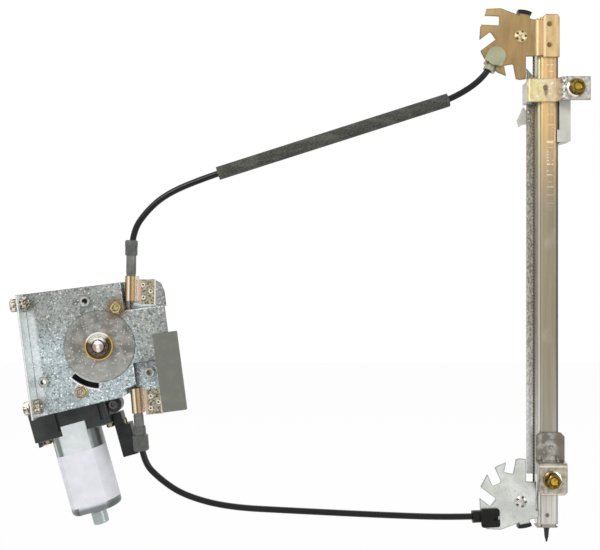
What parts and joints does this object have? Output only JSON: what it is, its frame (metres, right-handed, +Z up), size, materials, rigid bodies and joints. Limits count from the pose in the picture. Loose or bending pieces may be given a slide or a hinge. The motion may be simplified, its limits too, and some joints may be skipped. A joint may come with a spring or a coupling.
{
  "type": "window regulator",
  "caption": "Electric cable window regulator: guide rail with sliding carrier, end pulleys, cable conduits and a base plate with drum, worm gearbox and motor.",
  "frame": {"origin": "the lower rail bolt's axis where it meets the front face of the lower fixing tab", "axes": "+X across the door from the drum toward the rail, +Y from the cabin side toward the outer skin, +Z up along the rail"},
  "size_m": [0.4467, 0.0565, 0.418],
  "materials": {
    "guide_rail": "bright zinc over rolled steel, warm toward the top",
    "end_stop_buffer": "matt black rubber",
    "upper_pulley_bracket": "yellow chromate zinc",
    "lower_pulley_bracket": "clear zinc",
    "upper_pulley": "natural nylon",
    "lower_pulley": "natural nylon",
    "upper_conduit_fitting": "natural nylon",
    "lower_conduit_fitting": "black nylon",
    "pulley_rivets": "zinc-plated steel",
    "pulley_washers": "plain steel",
    "cable_guards": "black nylon",
    "rail_cable": "galvanised wire rope",
    "upper_fixing_bracket": "yellow chromate zinc",
    "lower_fixing_bracket": "zinc-plated steel",
    "rail_fixing_bolts": "gold chromate zinc",
    "rail_weld_nuts": "zinc-plated steel",
    "carrier": "white nylon",
    "cable_nipples": "die-cast zinc",
    "glass_insert": "turned brass",
    "upper_conduit": "black polymer sheath",
    "lower_conduit": "black polymer sheath",
    "foam_sleeve": "dark grey foam",
    "conduit_ferrules": "grey plated steel",
    "conduit_boots": "dark grey rubber",
    "ferrule_clips": "yellow chromate zinc",
    "upper_drum_cable": "galvanised wire rope",
    "lower_drum_cable": "galvanised wire rope",
    "base_plate": "spangled zinc sheet",
    "edge_pad": "matt grey felted rubber",
    "plate_clinch_nuts": "zinc-plated steel",
    "gearbox_studs": "zinc-plated steel",
    "gearbox_nuts": "yellow chromate zinc",
    "flange_bolts": "zinc-plated steel",
    "flange_nuts": "zinc-plated steel",
    "drum_bush": "sintered bronze",
    "drum_shaft": "ground steel",
    "shaft_ring": "spring steel",
    "cable_drum": "black nylon",
    "drum_cable_wraps": "galvanised wire rope",
    "worm_wheel": "natural acetal",
    "wheel_damper": "black rubber",
    "drive_plate": "pressed steel",
    "gear_housing": "black glass-filled nylon",
    "gear_cover": "black glass-filled nylon",
    "cover_screws": "zinc-plated steel",
    "ear_screw": "dark plated steel",
    "motor_can": "clear zinc over drawn steel",
    "can_screws": "yellow chromate zinc",
    "motor_magnets": "ferrite",
    "armature_shaft": "ground steel",
    "armature_core": "laminated steel",
    "armature_windings": "enamelled copper wire",
    "commutator": "copper bars",
    "brush_holder": "brown phenolic",
    "brushes": "carbon",
    "motor_bushes": "sintered bronze",
    "thrust_ball": "polished steel",
    "connector_shell": "black nylon",
    "connector_terminals": "tinned brass"
  },
  "bodies": {
    "frame": {"guide_rail": "guide_rail", "end_stop_buffer": "end_stop_buffer", "upper_pulley_bracket": "upper_pulley_bracket", "lower_pulley_bracket": "lower_pulley_bracket", "upper_conduit_fitting": "upper_conduit_fitting", "lower_conduit_fitting": "lower_conduit_fitting", "pulley_rivets": "pulley_rivets", "pulley_washers": "pulley_washers", "cable_guards": "cable_guards", "rail_cable": "rail_cable", "upper_fixing_bracket": "upper_fixing_bracket", "lower_fixing_bracket": "lower_fixing_bracket", "rail_fixing_bolts": "rail_fixing_bolts", "rail_weld_nuts": "rail_weld_nuts", "upper_conduit": "upper_conduit", "lower_conduit": "lower_conduit", "foam_sleeve": "foam_sleeve", "conduit_ferrules": "conduit_ferrules", "conduit_boots": "conduit_boots", "ferrule_clips": "ferrule_clips", "upper_drum_cable": "upper_drum_cable", "lower_drum_cable": "lower_drum_cable", "base_plate": "base_plate", "edge_pad": "edge_pad", "plate_clinch_nuts": "plate_clinch_nuts", "gearbox_studs": "gearbox_studs", "gearbox_nuts": "gearbox_nuts", "flange_bolts": "flange_bolts", "flange_nuts": "flange_nuts", "drum_bush": "drum_bush", "gear_housing": "gear_housing", "gear_cover": "gear_cover", "cover_screws": "cover_screws", "ear_screw": "ear_screw", "motor_can": "motor_can", "can_screws": "can_screws", "motor_magnets": "motor_magnets", "brush_holder": "brush_holder", "brushes": "brushes", "motor_bushes": "motor_bushes", "thrust_ball": "thrust_ball", "connector_shell": "connector_shell", "connector_terminals": "connector_terminals"},
    "carrier": {"carrier": "carrier", "glass_insert": "glass_insert", "cable_nipples": "cable_nipples"},
    "upper_pulley": {"upper_pulley": "upper_pulley"},
    "lower_pulley": {"lower_pulley": "lower_pulley"},
    "drum": {"cable_drum": "cable_drum", "drum_shaft": "drum_shaft", "shaft_ring": "shaft_ring", "drum_cable_wraps": "drum_cable_wraps", "worm_wheel": "worm_wheel", "wheel_damper": "wheel_damper", "drive_plate": "drive_plate"},
    "armature": {"armature_shaft": "armature_shaft", "armature_core": "armature_core", "armature_windings": "armature_windings", "commutator": "commutator"}
  },
  "joints": [
    {"name": "armature_spin", "type": "hinge", "parent": "frame", "child": "armature", "pos_m": [-0.39068, 0.034, 0.09103], "axis": [-0.2672, 0, 0.9636], "range_deg": [0, 42143.7]},
    {"name": "drum_spin", "type": "hinge", "parent": "frame", "child": "drum", "pos_m": [-0.3504, 0, 0.1022], "axis": [0, -1, 0], "range_deg": [0, 727.6]},
    {"name": "carrier_slide", "type": "slide", "parent": "frame", "child": "carrier", "axis": [0, 0, -1], "range_m": [0, 0.2793]},
    {"name": "upper_pulley_spin", "type": "hinge", "parent": "frame", "child": "upper_pulley", "pos_m": [-0.0219, 0.0148, 0.3438], "axis": [0, 1, 0], "range_deg": [0, 1403.2]},
    {"name": "lower_pulley_spin", "type": "hinge", "parent": "frame", "child": "lower_pulley", "pos_m": [-0.0219, 0.0148, -0.019], "axis": [0, 1, 0], "range_deg": [0, 1403.2]}
  ],
  "couplings": [
    {"joint": "drum_spin", "follows": "armature_spin", "ratio": 0.017241},
    {"joint": "carrier_slide", "follows": "armature_spin", "m_per_rad": 0.00037931},
    {"joint": "upper_pulley_spin", "follows": "armature_spin", "ratio": 0.033273},
    {"joint": "lower_pulley_spin", "follows": "armature_spin", "ratio": 0.033273}
  ]
}
